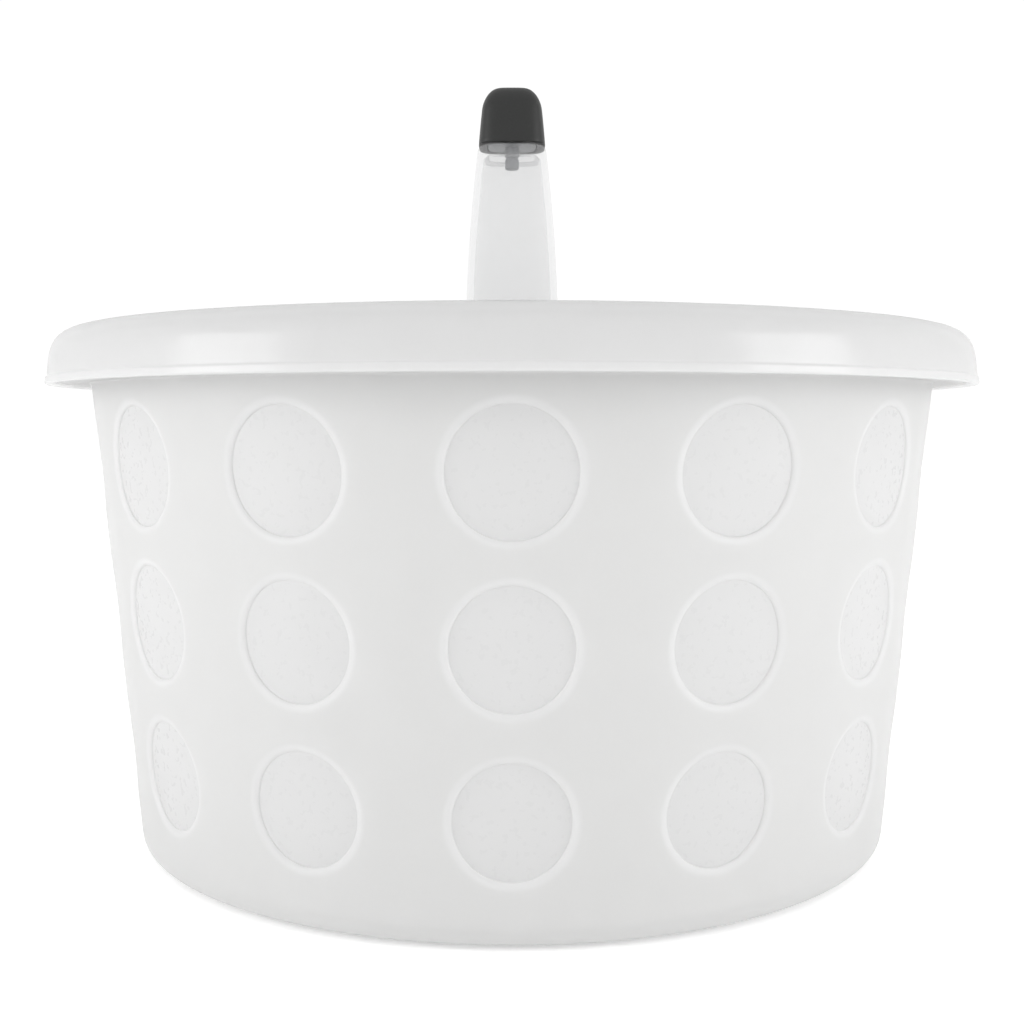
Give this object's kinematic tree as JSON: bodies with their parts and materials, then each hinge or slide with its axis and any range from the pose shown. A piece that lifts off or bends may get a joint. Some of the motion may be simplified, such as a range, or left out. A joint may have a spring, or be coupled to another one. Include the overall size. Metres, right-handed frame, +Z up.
{
  "type": "salad spinner",
  "caption": "Pump-action salad spinner: frosted bowl with round windows, slotted basket, wide rounded lid and a hollow push handle with a dark soft cap.",
  "frame": {"origin": "middle of the foot ring's underside, on the axis of the bowl", "axes": "+Z up along the basket's axis, -Y to the front, +X to the side that has the lock slider"},
  "size_m": [0.26, 0.26, 0.2134],
  "materials": {
    "frosted_plastic": "fine frosted, translucent",
    "basket_plastic": "frosted, translucent",
    "cover_plastic": "satin, translucent",
    "clear_plastic": "clear, lightly hazed",
    "soft_grip": "matt soft-touch",
    "grey_plastic": "satin",
    "white_plastic": "satin",
    "steel": "drawn and polished",
    "silicone": "matt"
  },
  "bodies": {
    "bowl": {"outer_bowl": "frosted_plastic", "foot_ring": "silicone"},
    "bush": {"pivot_bush": "white_plastic"},
    "basket": {"inner_basket": "basket_plastic"},
    "lid": {"lid_shell": "frosted_plastic", "lid_seal": "silicone", "mechanism_housing": "white_plastic", "top_cover": "cover_plastic", "cover_screw_1": "steel", "cover_screw_2": "steel", "cover_screw_3": "steel", "cover_screw_4": "steel", "spindle_bearing": "white_plastic", "retainer_ring": "white_plastic"},
    "plunger": {"pump_handle": "clear_plastic", "grip_cap": "soft_grip", "cap_core": "grey_plastic", "drive_nut": "white_plastic", "return_spring": "steel"},
    "spindle": {"spiral_rod": "steel", "clutch_rotor": "white_plastic", "thrust_washer": "steel"},
    "driver": {"driver_disc": "clear_plastic", "drum_cap": "clear_plastic", "grip_ring": "silicone"},
    "brake": {"brake_button": "grey_plastic", "brake_pad": "silicone", "brake_spring": "steel"},
    "lock": {"lock_slider": "grey_plastic"}
  },
  "joints": [
    {"name": "lid_lift", "type": "slide", "parent": "bowl", "child": "lid", "axis": [0, 0, 1], "range_m": [0, 0.26]},
    {"name": "basket_lift", "type": "slide", "parent": "bowl", "child": "bush", "axis": [0, 0, 1], "range_m": [0, 0.13]},
    {"name": "basket_spin", "type": "hinge", "parent": "bush", "child": "basket", "pos_m": [0, 0, 0.0175], "axis": [0, 0, 1], "continuous": true},
    {"name": "pump", "type": "slide", "parent": "lid", "child": "plunger", "axis": [0, 0, 1], "range_m": [-0.036, 0], "stiffness_N_per_m": 150, "springref_m": 0.02, "deforming": ["return_spring"]},
    {"name": "spindle_turn", "type": "hinge", "parent": "lid", "child": "spindle", "pos_m": [0, 0, 0.07], "axis": [0, 0, 1], "range_deg": [-2, 362]},
    {"name": "driver_spin", "type": "hinge", "parent": "lid", "child": "driver", "pos_m": [0, 0, 0.073], "axis": [0, 0, 1], "continuous": true},
    {"name": "brake_press", "type": "slide", "parent": "lid", "child": "brake", "axis": [0, 0, -1], "range_m": [0, 0.003], "stiffness_N_per_m": 400, "springref_m": -0.002, "deforming": ["brake_spring"]},
    {"name": "lock_slide", "type": "slide", "parent": "lid", "child": "lock", "axis": [-1, 0, 0], "range_m": [0, 0.005]}
  ],
  "couplings": [
    {"joint": "basket_lift", "follows": "lid_lift", "ratio": 0.5},
    {"joint": "basket_spin", "follows": "driver_spin", "ratio": 1},
    {"joint": "spindle_turn", "follows": "pump", "rad_per_m": -174.53}
  ]
}
